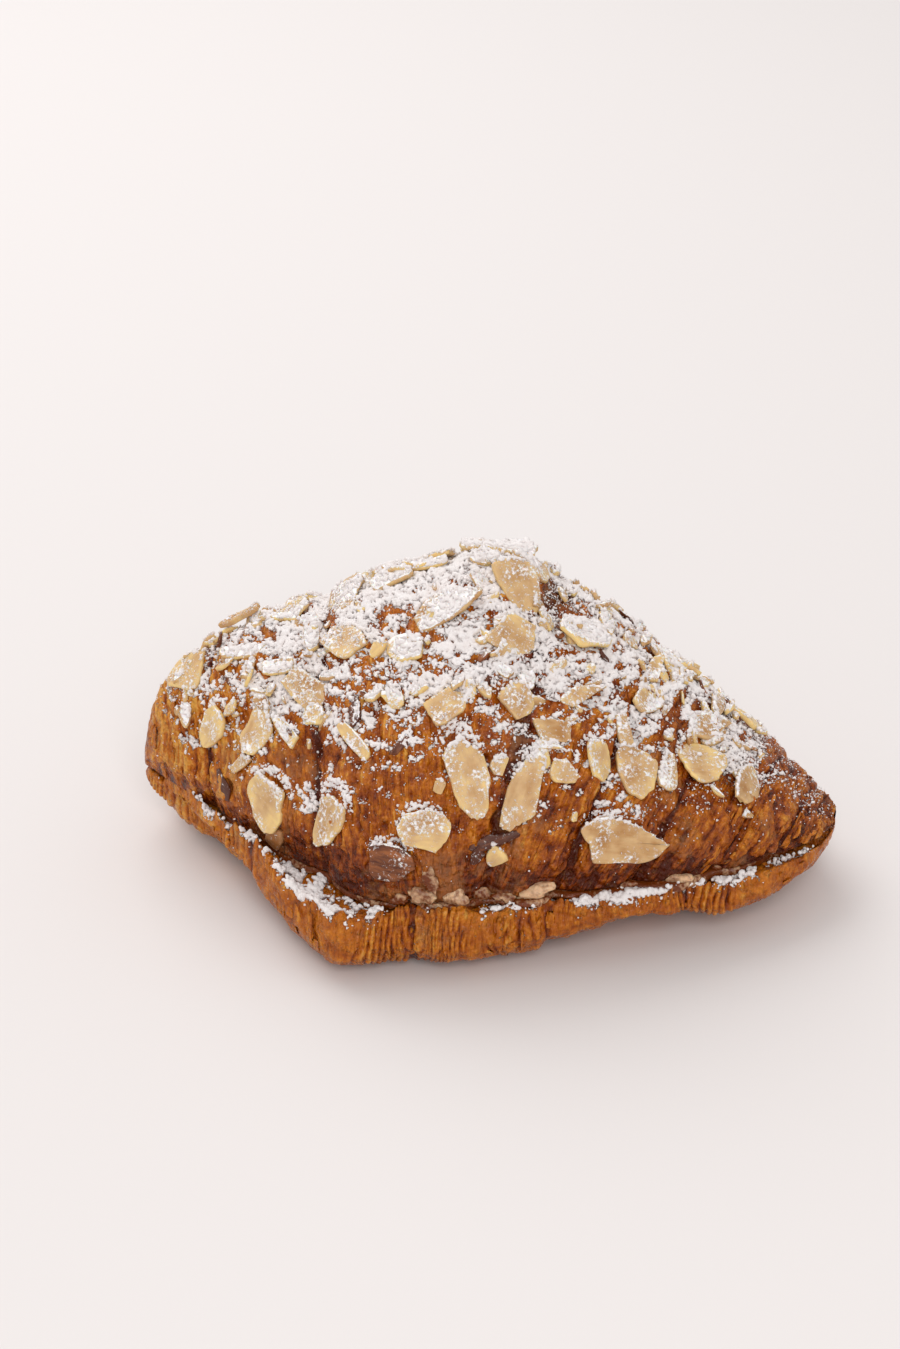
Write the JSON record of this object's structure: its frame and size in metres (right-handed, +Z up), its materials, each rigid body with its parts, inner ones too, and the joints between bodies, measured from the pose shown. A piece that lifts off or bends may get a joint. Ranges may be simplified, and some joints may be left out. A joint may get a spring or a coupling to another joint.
{
  "type": "almond croissant",
  "caption": "Baked crescent pastry split level and filled with almond cream, its rolled tiers topped with flaked almonds; lies flat on its sole as a piece of food.",
  "frame": {"origin": "centre of the bounding box, on the board the pastry lies on", "axes": "+X along the roll towards its slender tip, +Y from the front face to the back, +Z up"},
  "size_m": [0.152, 0.1003, 0.072],
  "materials": {
    "lower_crust": "matte golden baked dough",
    "filling": "moist pale paste",
    "upper_crust": "satin browned crust with cream flaked almonds and a dusting of sugar"
  },
  "bodies": {
    "root": {"lower_half": "lower_crust", "almond_filling": "filling", "upper_half": "upper_crust"}
  },
  "joints": []
}
